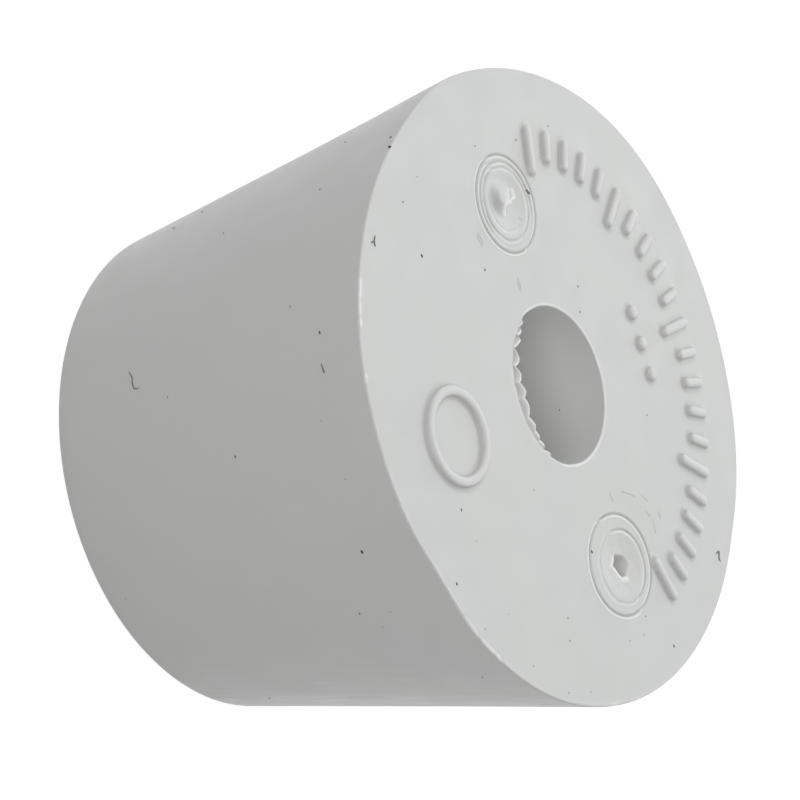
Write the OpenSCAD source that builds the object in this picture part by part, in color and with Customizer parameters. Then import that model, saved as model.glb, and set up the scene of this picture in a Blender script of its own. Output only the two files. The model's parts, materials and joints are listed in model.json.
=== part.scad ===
// Tapered rubber stopper with one straight bore, moulded in one piece.
// It stands on its small end. Z is the axis of the bore, and X passes through both gate marks.

/* [Body] */
// Diameter of the large end
top_d = 37; // [32:0.5:46]
// Diameter of the small end
bottom_d = 29.2; // [22:0.1:31]
// Height between the two flat ends
height = 25.2; // [15:0.2:40]
// Radius of the trimmed edge round the large end
top_edge_r = 0.2; // [0.1:0.05:1]
// Radius of the moulded edge round the small end
bottom_edge_r = 0.25; // [0.1:0.05:1.5]

/* [Bore] */
// Diameter of the straight bore
bore_d = 9.2; // [5:0.1:13]
// Radius of the edge at each mouth of the bore
mouth_edge_r = 0.15; // [0.05:0.05:0.5]

/* [Gate marks] */
// Distance between the centres of the two gate marks, on the large end
gate_pitch = 21.7; // [20:0.1:24]
// Diameter of the groove left by the plug round each gate
outer_ring_d = 5.9; // [5.6:0.1:6.4]
// Diameter of the middle groove, on the mark that kept its gate
middle_ring_d = 5.1; // [4.9:0.05:5.2]
// Diameter of the groove round the dish of each mark
inner_ring_d = 4.3; // [4.1:0.05:4.5]
// Width of each groove, across its rim
groove_w = 0.3; // [0.1:0.02:0.36]
// Depth of each groove
groove_depth = 0.12; // [0.04:0.02:0.2]
// Diameter of the shallow dish in each mark
dish_d = 3.7; // [3.4:0.05:3.75]
// Depth of the dish
dish_depth = 0.15; // [0.05:0.05:0.4]

/* [Torn gate] */
// Diameter of the pit at its rim, where the gate tore out
pit_d = 1.6; // [1:0.1:2.4]
// Diameter of the pit at its floor
pit_floor_d = 0.9; // [0.4:0.1:0.9]
// Depth of the pit, below the large end
pit_depth = 1; // [0.6:0.1:2]

/* [Kept gate] */
// Diameter of the low cone at its foot, on the floor of the dish
cone_d = 2.8; // [2.2:0.1:3.2]
// Diameter of the cone at its top
cone_top_d = 1; // [0.8:0.1:1.6]
// Height of the cone's top above the large end
cone_proud = 0.2; // [0.1:0.05:0.6]
// Diameter of the broken pip on the cone
pip_d = 0.6; // [0.3:0.05:0.7]
// Rise of the pip's round top above its rim
pip_rise = 0.1; // [0.05:0.05:0.14]
// Length of the pip above the cone
pip_length = 0.2; // [0.15:0.05:0.5]

/* [Hidden] */
$fn = 96;
rubber_colour = [0.81, 0.82, 0.815];
top_r = top_d / 2;
bottom_r = bottom_d / 2;
bore_r = bore_d / 2;
// Angle of the side wall from upright
wall_angle = atan2(top_r - bottom_r, height);
// How far a cutter passes a face that it opens
pass = 1;
// How far the foot of an added form is sunk
foot_sink = 0.1;
// Centres of the edge arcs, which touch the flat end and the side wall
top_arc = [top_r - top_edge_r * (1 + sin(wall_angle)) / cos(wall_angle), height - top_edge_r];
bottom_arc = [bottom_r - bottom_edge_r * (1 - sin(wall_angle)) / cos(wall_angle), bottom_edge_r];
// Outward normal of the side wall, in section
wall_normal = [cos(wall_angle), -sin(wall_angle)];
// Heights of the cone's foot, which lies on the floor of the dish, and of its top
cone_foot_z = dish_z(cone_d / 2);
cone_top_z = height + cone_proud;

// Radius of the circle that a cap of this width and depth is cut from
function cap_radius(width, depth) = (width * width / 4 + depth * depth) / (2 * depth);

// Height of the dish's surface at a distance from its centre
function dish_z(distance) =
    let (sphere_r = cap_radius(dish_d, dish_depth))
    height - dish_depth + sphere_r - sqrt(sphere_r * sphere_r - distance * distance);

// Half section of the body, from the axis to the side wall, with its two round edges
module body_section() {
    polygon([
        [0, 0],
        [bottom_arc.x, 0],
        bottom_arc + bottom_edge_r * wall_normal,
        top_arc + top_edge_r * wall_normal,
        [top_arc.x, height],
        [0, height]
    ]);
    translate(bottom_arc) circle(bottom_edge_r);
    translate(top_arc) circle(top_edge_r);
}

// Half section of one mouth: the corner between a round edge and the bore
module mouth_section() {
    difference() {
        translate([bore_r - pass, -mouth_edge_r]) square([mouth_edge_r + pass, mouth_edge_r + pass]);
        translate([bore_r + mouth_edge_r, -mouth_edge_r]) circle(mouth_edge_r);
    }
}

// The bore and its two mouths
module bore() {
    translate([0, 0, -pass]) cylinder(r = bore_r, h = height + 2 * pass);
    rotate_extrude() translate([0, height]) mouth_section();
    rotate_extrude() mirror([0, 1]) mouth_section();
}

// Moves a form to a gate mark: side is -1 for the torn gate and 1 for the kept one
module at_gate(side) {
    translate([side * gate_pitch / 2, 0, 0]) children();
}

// A round-bottomed groove in the large end
module ring_groove(ring_d) {
    arc_r = cap_radius(groove_w, groove_depth);
    translate([0, 0, height - groove_depth + arc_r])
        rotate_extrude() translate([ring_d / 2, 0]) circle(arc_r);
}

// The shallow dish inside the inner groove
module dish() {
    sphere_r = cap_radius(dish_d, dish_depth);
    translate([0, 0, height - dish_depth + sphere_r]) sphere(sphere_r);
}

// The pit where the gate tore out, narrower at its floor
module torn_pit() {
    slope = (pit_d - pit_floor_d) / 2 / pit_depth;
    translate([0, 0, height - pit_depth])
        cylinder(r1 = pit_floor_d / 2, r2 = pit_d / 2 + slope * pass, h = pit_depth + pass);
}

// The low cone that the kept gate stands on, sunk into the body below its foot
module gate_cone() {
    slope = (cone_d - cone_top_d) / 2 / (cone_top_z - cone_foot_z);
    translate([0, 0, cone_foot_z - foot_sink])
        cylinder(
            r1 = cone_d / 2 + slope * foot_sink,
            r2 = cone_top_d / 2,
            h = cone_top_z - cone_foot_z + foot_sink
        );
}

// The broken pip on the cone, with a round top
module pip() {
    arc_r = cap_radius(pip_d, pip_rise);
    top_z = cone_top_z + pip_length;
    rotate_extrude() intersection() {
        translate([0, top_z - arc_r]) circle(arc_r);
        translate([0, cone_top_z - foot_sink]) square([pip_d / 2, pip_length + foot_sink + pass]);
    }
}

// The whole stopper
module stopper() {
    color(rubber_colour) union() {
        difference() {
            rotate_extrude() body_section();
            bore();
            for (side = [-1, 1]) {
                at_gate(side) {
                    ring_groove(outer_ring_d);
                    ring_groove(inner_ring_d);
                    dish();
                }
            }
            at_gate(1) ring_groove(middle_ring_d);
            at_gate(-1) torn_pit();
        }
        at_gate(1) gate_cone();
        at_gate(1) pip();
    }
}

stopper();
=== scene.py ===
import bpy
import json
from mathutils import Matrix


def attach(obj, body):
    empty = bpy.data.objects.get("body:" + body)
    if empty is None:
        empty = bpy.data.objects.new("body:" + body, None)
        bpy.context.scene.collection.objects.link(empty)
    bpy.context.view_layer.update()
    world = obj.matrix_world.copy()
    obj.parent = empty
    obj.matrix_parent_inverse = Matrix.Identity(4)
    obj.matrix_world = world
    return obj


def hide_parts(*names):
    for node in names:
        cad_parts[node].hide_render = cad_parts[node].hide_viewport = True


bl_info = {
    "name": "Rubber stopper",
    "version": (1, 0, 0),
    "blender": (4, 5, 0),
    "location": "3D View > Sidebar > Stopper",
    "description": "A tapered rubber stopper with a bore, moulded in one piece from two gates",
    "category": "Object",
}

import json
import math
import operator
from functools import reduce

import bpy
from mathutils import Matrix, Vector
from mathutils.geometry import delaunay_2d_cdt

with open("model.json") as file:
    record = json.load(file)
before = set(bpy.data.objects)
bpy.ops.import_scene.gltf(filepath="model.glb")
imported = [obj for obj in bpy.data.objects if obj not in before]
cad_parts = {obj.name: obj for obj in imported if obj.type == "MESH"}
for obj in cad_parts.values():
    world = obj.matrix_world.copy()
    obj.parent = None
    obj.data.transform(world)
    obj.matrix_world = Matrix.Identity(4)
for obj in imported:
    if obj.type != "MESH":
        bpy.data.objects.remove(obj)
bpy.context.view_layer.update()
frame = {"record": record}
BORE = next(mount for mount in frame["record"]["mounts"] if mount["name"] == "bore")

MM = 0.001
FULL_TURN = 2 * math.pi
QUARTER = math.pi / 2

# ---------------------------------------------------------------- places, in millimetres and degrees

# Swells and flats left by trimming: angle, height, rise, spread round the body, spread up and down
SWELLS = (
    (308, 25.2, 0.42, 24, 14), (110, 25.2, -0.32, 9, 5), (66, 25.2, 0.16, 14, 8),
    (225, 25.2, -0.14, 8, 6), (26, 25.2, -0.10, 10, 6), (145, 25.2, 0.12, 14, 8), (6, 25.2, 0.10, 8, 5),
)

# The torn edge of the flash, from a notch to a tip to a notch: angle, and share of the full width
FLASH_EDGE = (
    (17, 0), (20, 0.22), (26.3, 0.19), (27.5, 0.39), (33.9, 0.25), (35.1, 0.53), (45.6, 0.23),
    (53, 0.70), (60.2, 0.38), (66, 0.84), (73.4, 0.66), (81.5, 1.0), (86.9, 0.74), (94.5, 0.93),
    (103.2, 0.55), (112.5, 0.73), (115.9, 0.49), (121.5, 0.53), (123.4, 0.32), (130, 0.38),
    (131.4, 0.15), (139, 0.22), (141.8, 0.08), (146.5, 0.13), (154, 0),
)

# Where the trimmed lip stands up from the rim, and how strong its painted highlight is there: angle, half
# length in degrees, strength
LIP_RUNS = (
    (58.6, 1.5, 0.8), (62.3, 1.0, 0.6), (64.7, 0.6, 0.8), (74.2, 0.4, 1.3), (99.0, 0.7, 0.35),
    (108.8, 1.2, 0.3), (113.8, 2.0, 0.55), (117.2, 1.2, 0.9), (119.2, 0.5, 1.2), (120.8, 0.6, 1.0),
    (122.4, 0.5, 0.9), (123.6, 0.4, 1.0), (126.4, 0.8, 1.0), (128.4, 0.6, 0.9), (130.4, 0.6, 1.0),
    (165, 2.0, 0.3), (172, 2.5, 0.35), (179, 1.5, 0.5),
)

# Nicks in the rim of the large end: angle, depth, length
NICKS = ((119.6, 0.06, 0.3), (124.0, 0.05, 0.3), (131.3, 0.05, 0.35), (74.9, 0.05, 0.3))

# Corners of the torn pit, in order round it
PIT_CORNERS = (
    (-10.30, -0.29), (-10.68, -1.20), (-11.20, -1.35), (-11.80, -0.72), (-11.70, -0.22), (-10.85, 0.30),
)

# The sliver left on the kept gate, as a line of points from its thick end to its tip
SLIVER = ((11.25, -1.45), (10.86, -1.41), (10.72, -0.98), (10.70, 0.00), (10.51, 0.11), (10.17, 0.05))

# The strand of torn skin beside the sliver
FLAP = ((11.41, -1.04), (11.07, -0.56), (10.85, -0.20))

# Fine scratches on the flat of the large end: both ends of each
SCRATCHES = (
    ((9.80, 3.31), (9.12, 3.16)), ((9.66, 3.52), (9.04, 3.34)), ((6.50, 0.83), (5.96, 0.80)),
    ((6.36, 0.98), (5.84, 0.94)), ((-12.60, -4.60), (-13.30, -4.52)), ((-9.02, -4.56), (-9.40, -4.84)),
    ((-9.70, -5.02), (-10.42, -4.90)), ((-9.43, -5.89), (-9.80, -5.86)),
    ((-7.06, -1.50), (-7.56, -1.56)), ((-7.28, -2.76), (-7.92, -3.96)),
    ((-8.08, -4.68), (-8.50, -5.06)), ((9.68, -1.20), (9.52, -1.42)), ((8.30, -1.45), (8.04, -1.58)),
)

# Dark grains in the side wall: angle, height, size across
WALL_GRAINS = (
    (16, 5.6, 0.14), (120.2, 19.2, 0.08), (116.7, 20.5, 0.07), (31.8, 12.3, 0.11), (32.5, 20.2, 0.12),
    (57.5, 19.8, 0.10), (64.3, 22.2, 0.15), (66.6, 9.6, 0.09), (79.2, 21.4, 0.06), (81.6, 14.3, 0.13),
    (103.5, 21, 0.17), (107, 1.6, 0.06), (116.4, 18.3, 0.12), (147.1, 4.7, 0.12), (89.9, 22, 0.07),
    (25.7, 24.7, 0.15), (17.2, 19.8, 0.12), (14.4, 7.7, 0.14), (136.5, 22.7, 0.11),
)

# Dark grains in the flat of the large end: x, y, size across
FACE_GRAINS = (
    (16.2, 9.02, 0.18), (13.99, 7.4, 0.07), (13, 9.44, 0.11), (9.86, 9.29, 0.16), (7.74, 3.77, 0.13),
    (13.87, -3.37, 0.12), (13.93, -7.11, 0.10), (14.41, 0.9, 0.10), (4.65, -4.96, 0.12),
    (3.26, -4.34, 0.12), (-3.75, 13.12, 0.13), (-5.68, 12.65, 0.06), (-10.21, 14.42, 0.08),
    (-13.42, 11.11, 0.07), (-10.16, 11.88, 0.06), (-15.15, 1.11, 0.07), (-15.28, -0.44, 0.07),
    (-14.40, -1.22, 0.09), (-7.23, 15.65, 0.14), (-16.83, -3.13, 0.14), (-12.08, 6.45, 0.10),
    (-13.28, 6.96, 0.10), (-4.7, 5.8, 0.07), (-3.99, -7.91, 0.10), (-15.82, 8.63, 0.08),
    (-16.46, 6.51, 0.08), (-9.48, 2.1, 0.15), (10.93, -2.87, 0.12), (10.84, -2.92, 0.13),
    (10.75, -2.98, 0.12),
)

# A grain in the wall of the bore: angle, height, size across
BORE_GRAINS = ((-115.9, 22.0, 0.1),)

# Stray fibres on the side wall: angle and height of each point along them
WALL_FIBRES = (
    ((58.1, 6.3), (59.8, 6.6), (61.0, 6.65), (62.4, 6.8), (62.6, 7.07), (62.6, 7.25)),
    ((69.7, 22.15), (71.5, 22.3)),
)

# Stray fibres on the flat of the large end: x and y of each point along them
FACE_FIBRES = (
    ((11.90, 12.95), (11.62, 13.20), (11.30, 13.28)), ((11.60, 13.52), (11.62, 13.20)),
    ((-13.42, -10.55), (-13.38, -10.95), (-13.78, -10.75), (-14.00, -10.85)),
)


# Loose grains to the square metre, and the size that theirs are a share of
LOOSE_GRAINS = 9000.0
LOOSE_SIZE = 0.1 * MM
FIBRE_THICKNESS = 0.07 * MM

# Angle at which the drawn streaks are strongest, in degrees, and how far they and their pale part spread
STREAKS_AT = 151
STREAKS_SPREAD = math.radians(16)
PALE_SPREAD = math.radians(7)

PLAIN = (1, 1, 1, 1)


# ---------------------------------------------------------------- sizes that a user would change


def length(name, description, millimetres):
    """A length, given in millimetres and held in metres."""
    return bpy.props.FloatProperty(
        name=name,
        description=description,
        default=millimetres * MM,
        subtype="DISTANCE",
        unit="LENGTH",
        precision=5,
    )


def turn(name, description, degrees):
    """An angle, given in degrees and held in radians."""
    return bpy.props.FloatProperty(
        name=name,
        description=description,
        default=math.radians(degrees),
        subtype="ANGLE",
        unit="ROTATION",
    )


def share(name, description, default):
    """A number from 0 to 1."""
    return bpy.props.FloatProperty(name=name, description=description, default=default, min=0, max=1)


def count(name, description, default):
    """A whole number above 0."""
    return bpy.props.IntProperty(name=name, description=description, default=default, min=1)


def colour(name, description, default):
    """A colour, as a linear value."""
    return bpy.props.FloatVectorProperty(
        name=name, description=description, default=default, subtype="COLOR", size=4, min=0, max=1
    )


class BodySizes(bpy.types.PropertyGroup):
    """The revolved body, at the sizes of the part's source."""

    top_d: length("Large end", "Diameter of the large end", 37)
    bottom_d: length("Small end", "Diameter of the small end", 29.2)
    height: length("Height", "Height between the two flat ends", 2 * BORE["pos_m"][2] / MM)
    bore_d: length("Bore", "Diameter of the bore", 2 * BORE["dims"]["r_mm"])
    top_edge_r: length("Large edge", "Radius of the trimmed edge round the large end", 0.07)
    bottom_edge_r: length("Small edge", "Radius of the moulded edge round the small end", 0.25)
    mouth_edge_r: length("Mouth edge", "Radius of the edge at each mouth of the bore", 0.15)
    mouth_shift: length("Mouth shift", "How far the upper mouth stands off the axis", 0.1)
    # Painted light: how far the bore's wall is lightened
    bloom: share("Bloom", "How far the bore is paled by mould powder", 0.4)
    unevenness: length("Unevenness", "How far the soft rubber wanders from its true form", 0.03)
    lip_height: length("Lip height", "Height of the fine lip left round the large end", 0.05)
    lip_width: length("Lip width", "Width of that lip", 0.16)


class GateSizes(bpy.types.PropertyGroup):
    """The two gate marks on the large end."""

    pitch: length("Gate pitch", "Distance between the centres of the gate marks", 21.7)
    offset: length("Gate offset", "Distance of both marks from the plane through the bore", -0.36)
    shift: length("Gate shift", "Distance of both marks along their pitch", -0.13)
    stretch: share("Mark stretch", "How much wider the torn mark is across the pitch", 0.07)
    outer_ring_d: length("Outer ring", "Diameter of the groove left by the plug", 5.9)
    middle_ring_d: length("Middle ring", "Diameter of the middle groove, on the kept gate", 5.1)
    inner_ring_d: length("Inner ring", "Diameter of the groove round the dish", 4.3)
    groove_w: length("Groove width", "Width of each groove", 0.22)
    groove_depth: length("Groove depth", "Depth of each groove", 0.12)
    # The beads are raised; their paleness is a painted highlight, and they stand off on the side of the
    # groove that faces the light
    bead_shift: length("Bead shift", "How far the pale beads stand off the grooves", 0.2)
    dish_d: length("Dish", "Diameter of the shallow dish", 3.7)
    dish_depth: length("Dish depth", "Depth of the dish", 0.15)
    pit_depth: length("Pit depth", "Depth of the pit where the gate tore out", 1.2)
    pit_slope: length("Pit wall", "How far the pit's wall leans inwards", 0.2)
    burr: length("Pit burr", "Height of the torn edge on one side of the pit", 0.05)
    cone_d: length("Cone", "Length of the kept gate's lopsided cone at its foot", 2.6)
    cone_top_d: length("Cone top", "Length of the cone at its top", 0.6)
    cone_proud: length("Cone height", "Height of the cone's top above the large end", 0.2)
    sliver_w: length("Sliver", "Width of the torn sliver on the cone", 0.22)
    sliver_h: length("Sliver height", "Height of the sliver above the cone", 0.12)


class ReliefSizes(bpy.types.PropertyGroup):
    """The plain raised marks on the large end."""

    height: length("Relief height", "Height of the raised marks", 0.3)
    stroke: length("Stroke", "Width of the raised strokes", 0.66)
    # Painted highlight: how far the tops of the marks are lightened
    rubbing: share("Rubbing", "How far the tops of the marks are rubbed pale", 0.22)
    # Painted shade: how far the foot of each mark is darkened
    dirt: share("Dirt", "How much dirt the foot of each mark holds", 0.29)
    bar_count: count("Bars", "Number of raised bars on the arc", 21)
    bar_pitch: turn("Bar pitch", "Angle from each bar to the next", 7.2)
    bar_first: turn("First bar", "Angle of the first bar", -18)
    bar_outer_r: length("Outer ends", "Radius that the bars reach out to", 15.2)
    long_bar: length("Long bar", "Length of every fifth bar", 3.0)
    short_bar: length("Short bar", "Length of the other bars", 2.0)
    stud_d: length("Stud", "Diameter of the three studs", 0.9)
    stud_pitch: length("Stud pitch", "Distance between the studs", 1.9)
    stud_y: length("Stud row", "Place of the row of studs, from the axis of the bore", -9.6)
    ring_d: length("Ring", "Diameter of the raised ring, at the middle of its stroke", 5.1)
    ring_y: length("Ring place", "Place of the raised ring, from the axis of the bore", 11.4)


class FlashSizes(bpy.types.PropertyGroup):
    """The torn flash in the upper mouth of the bore."""

    width: length("Flash width", "Width of the flash at its widest", 1.27)
    lip: length("Flash lip", "Width of the pale lip along its torn edge", 0.15)
    crest: length("Crest", "Depth of that lip's crest below the large end", 0.05)
    thickness: length("Thickness", "Thickness of the flash at its root", 0.14)
    slope: share("Slope", "Fall of the flash from its crest to its root, as a share of the way", 0.48)
    shoulder: share("Shoulder", "Share of its width that is full at the large end", 0.24)
    ridge: share("Ridges", "How far each notch's ridge fills that fall", 0.65)
    ragged: length("Ragged edge", "How far the torn edge wanders", 0.08)


class Finish(bpy.types.PropertyGroup):
    """Colours of the rubber, of the dirt on it, and of the shade painted on it."""

    rubber: colour("Rubber", "Colour of the white rubber", (0.664, 0.676, 0.67, 1))
    warm: colour("Warm tone", "Tone of the rubber in its warmer patches", (0.671, 0.677, 0.667, 1))
    # Also the colour of the painted highlights and of the painted light in the bore
    torn: colour("Torn rubber", "Colour where the rubber was torn", (0.95, 0.955, 0.945, 1))
    # Painted shade: the dark colour mixed in where shade is painted into grooves, scratches, the feet of
    # marks and the flash's thin top
    creased: colour("Painted shade", "Colour of the dirt held in creases", (0.32, 0.325, 0.315, 1))
    grain: colour("Grains", "Colour of the dark grains", (0.03, 0.03, 0.028, 1))
    fleck: colour("Flecks", "Second tone of the grains and the fibres", (0.09, 0.09, 0.085, 1))
    sunk: colour("Sunk grains", "Colour of the small grains under the skin", (0.27, 0.27, 0.26, 1))
    fibre: colour("Fibres", "Colour of the stray fibres", (0.27, 0.27, 0.26, 1))
    floor: colour("Floor", "Colour of the floor under the stopper", (0.6, 0.6, 0.6, 1))


# ---------------------------------------------------------------- node trees written as arithmetic


class Field:
    """A value in a node tree, so that a rule is written as plain arithmetic."""

    def __init__(self, tree, socket):
        self.tree = tree
        self.socket = socket

    def __add__(self, other):
        return self.tree.calc("ADD", self, other)

    def __sub__(self, other):
        return self.tree.calc("SUBTRACT", self, other)

    def __rsub__(self, other):
        return self.tree.calc("SUBTRACT", other, self)

    def __mul__(self, other):
        return self.tree.calc("MULTIPLY", self, other)

    def __truediv__(self, other):
        return self.tree.calc("DIVIDE", self, other)

    def __rtruediv__(self, other):
        return self.tree.calc("DIVIDE", other, self)

    def __neg__(self):
        return self.tree.calc("MULTIPLY", self, -1.0)

    __radd__ = __add__
    __rmul__ = __mul__


class Inputs:
    """A group's inputs by label, each made with its default value when a rule first asks for it."""

    KINDS = {int: "Int", float: "Float", tuple: "Color", type(None): "Geometry"}

    def __init__(self, tree, defaults):
        self.tree = tree
        self.defaults = defaults
        self.entry = tree.node("NodeGroupInput")
        for label in defaults:
            if defaults[label] is None:
                self.add(label)

    def add(self, label):
        default = self.defaults[label]
        kind = self.KINDS.get(type(default), type(default).__name__)
        made = self.tree.add_socket(label, "INPUT", kind)
        if default is not None:
            made.default_value = default

    def __getitem__(self, label):
        if label not in self.entry.outputs:
            self.add(label)
        return Field(self.tree, self.entry.outputs[label])


class Tree:
    """A node tree, with short calls for the nodes that the rules are made of."""

    def __init__(self, tree):
        self.tree = tree

    @classmethod
    def new_group(cls, name, kind, inputs):
        """Makes a node group, whose inputs are given as their labels and default values."""
        tree = cls(bpy.data.node_groups.new(name, kind))
        tree.size = Inputs(tree, inputs)
        return tree

    def add_socket(self, label, way, kind):
        """Adds an input or an output to the group itself."""
        return self.tree.interface.new_socket(label, in_out=way, socket_type="NodeSocket" + kind)

    def node(self, kind, **settings):
        """Adds a node with its settings made."""
        made = self.tree.nodes.new(kind)
        for name, value in settings.items():
            setattr(made, name, value)
        return made

    def feed(self, entry, value):
        """Links a field to a socket, or sets the socket to a plain value."""
        if isinstance(value, Field):
            self.tree.links.new(value.socket, entry)
        else:
            entry.default_value = value

    def put(self, kind, inputs, output=0, **settings):
        """Adds a node with its inputs fed by name, and returns one of its outputs."""
        made = self.node(kind, **settings)
        for name, value in inputs.items():
            self.feed(made.inputs[name], value)
        return Field(self, made.outputs[output])

    def put_typed(self, kind, data_type, socket_type, inputs):
        """As put, for a node whose sockets share their names: the one of the given type is used."""
        made = self.node(kind, data_type=data_type)
        for name, value in inputs.items():
            named = [entry for entry in made.inputs if entry.name == name]
            self.feed(next((entry for entry in named if entry.type == socket_type), named[0]), value)
        return Field(self, next(socket for socket in made.outputs if socket.type == socket_type))

    def calc(self, operation, *operands):
        """One step of arithmetic."""
        return self.put("ShaderNodeMath", dict(enumerate(operands)), operation=operation)

    def least(self, first, second):
        return self.calc("MINIMUM", first, second)

    def most(self, first, second):
        return self.calc("MAXIMUM", first, second)

    def size_of(self, value):
        return self.calc("ABSOLUTE", value)

    def hypot(self, x, y):
        return self.calc("SQRT", x * x + y * y)

    def turned(self, angle, degrees):
        """How far an angle lies from a fixed one, given in degrees, by the shorter way."""
        return self.calc("WRAP", angle - math.radians(degrees), math.pi, -math.pi)

    def ease(self, value, low, high, first=0.0, last=1.0):
        """Goes smoothly from first, up to low, to last, beyond high."""
        ends = dict(enumerate((value, low, high, first, last)))
        return self.put("ShaderNodeMapRange", ends, interpolation_type="SMOOTHSTEP")

    def bell(self, value, spread):
        """1 at 0, and near 0 past twice the spread."""
        ratio = value / spread
        return self.calc("EXPONENT", -(ratio * ratio))

    def texture(self, place, scale, detail=2.0):
        """Smooth noise between 0 and 1."""
        return self.put("ShaderNodeTexNoise", {"Vector": place, "Scale": scale, "Detail": detail}, "Fac")

    def noise(self, place, period, detail=2.0):
        """Smooth noise between about -0.5 and 0.5, in patches of that size."""
        return self.texture(place, 1 / period, detail) - 0.5

    def mix(self, share, first, second):
        """Mixes two colours: the share is that of the second."""
        return self.put_typed("ShaderNodeMix", "RGBA", "RGBA", {"Factor": share, "A": first, "B": second})

    def random(self, low, high, seed):
        """A random number for each point, from a fixed seed."""
        inputs = {"Min": low, "Max": high, "Seed": seed}
        return self.put_typed("FunctionNodeRandomValue", "FLOAT", "VALUE", inputs)

    def coordinates(self, kind):
        """A material's own coordinates, such as Object or Normal."""
        return self.put("ShaderNodeTexCoord", {}, kind)

    def painted(self, name):
        """A value that the mesh carries, read in a material."""
        return self.put("ShaderNodeAttribute", {}, "Fac", attribute_name=name)

    def stored(self, name):
        """A value that the points carry."""
        return self.put("GeometryNodeInputNamedAttribute", {"Name": name}, data_type="FLOAT")

    def store(self, geometry, name, value):
        """Gives each point a value under a name."""
        inputs = {"Geometry": geometry, "Name": name, "Value": value}
        return self.put("GeometryNodeStoreNamedAttribute", inputs, data_type="FLOAT", domain="POINT")

    def position(self):
        return self.put("GeometryNodeInputPosition", {})

    def split(self, vector):
        made = self.node("ShaderNodeSeparateXYZ")
        self.feed(made.inputs[0], vector)
        return [Field(self, socket) for socket in made.outputs]

    def join(self, x, y, z):
        return self.put("ShaderNodeCombineXYZ", {0: x, 1: y, 2: z})

    def scale(self, vector, factor):
        return self.put("ShaderNodeVectorMath", {0: vector, "Scale": factor}, operation="SCALE")

    def from_line(self, x, y, start, end):
        """Distance from a point to the straight line between two fixed points, given in millimetres."""
        start_x, start_y = start[0] * MM, start[1] * MM
        step_x, step_y = end[0] * MM - start_x, end[1] * MM - start_y
        reach = step_x * step_x + step_y * step_y
        near_x, near_y = x - start_x, y - start_y
        along = (near_x * step_x + near_y * step_y) / reach
        along = self.least(self.most(along, 0.0), 1.0)
        return self.hypot(near_x - along * step_x, near_y - along * step_y)

    def from_path(self, x, y, points):
        """Distance from a point to a path of straight lines."""
        return reduce(self.least, [self.from_line(x, y, *ends) for ends in zip(points, points[1:])])

    def finish(self, kind, **outputs):
        """Ends a group in outputs of one kind."""
        for name in outputs:
            self.add_socket(name, "OUTPUT", kind)
        exit_node = self.node("NodeGroupOutput")
        for name, value in outputs.items():
            self.feed(exit_node.inputs[name], value)
        return self.tree

    def finish_mesh(self, geometry, material):
        """Ends a geometry tree in one smooth mesh of one material."""
        for kind in ("SetShadeSmooth", "RealizeInstances"):
            geometry = self.put("GeometryNode" + kind, {"Geometry": geometry})
        inputs = {"Geometry": geometry, "Material": material}
        return self.finish("Geometry", Geometry=self.put("GeometryNodeSetMaterial", inputs))


def run_tree(obj, make, values):
    """Makes a geometry tree, runs it on an object once, and leaves the result as a plain mesh."""
    group = make({"Geometry": None, **values})
    modifier = obj.modifiers.new(group.name, "NODES")
    modifier.node_group = group
    for item in group.interface.items_tree:
        if item.in_out == "INPUT" and item.name in values:
            modifier[item.identifier] = values[item.name]
    graph = bpy.context.evaluated_depsgraph_get()
    made = bpy.data.meshes.new_from_object(obj.evaluated_get(graph))
    obj.modifiers.remove(modifier)
    old = obj.data
    obj.data = made
    made.name = obj.name
    bpy.data.meshes.remove(old)


def new_object(name, data):
    """Puts a mesh, a lamp or a camera in the scene."""
    obj = bpy.data.objects.new(name, data)
    bpy.context.scene.collection.objects.link(obj)
    return obj


# ---------------------------------------------------------------- the plain form, before its detail


def polar(radius, angle, x=0.0, y=0.0):
    """The point at an angle round a centre."""
    return x + radius * math.cos(angle), y + radius * math.sin(angle)


def even_angles(total):
    """Angles evenly spaced round a whole turn."""
    return [FULL_TURN * i / total for i in range(total)]


class Ring:
    """A ring of points: the angle of each, and the number of the first."""

    def __init__(self, angles, first):
        self.angles = angles
        self.first = first

    def point(self, index):
        return self.first + index % len(self.angles)

    def next_angle(self, index):
        """Angle of the point after this one, or endless past a whole turn."""
        if index >= len(self.angles):
            return math.inf
        return self.angles[index + 1] if index + 1 < len(self.angles) else FULL_TURN


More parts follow.
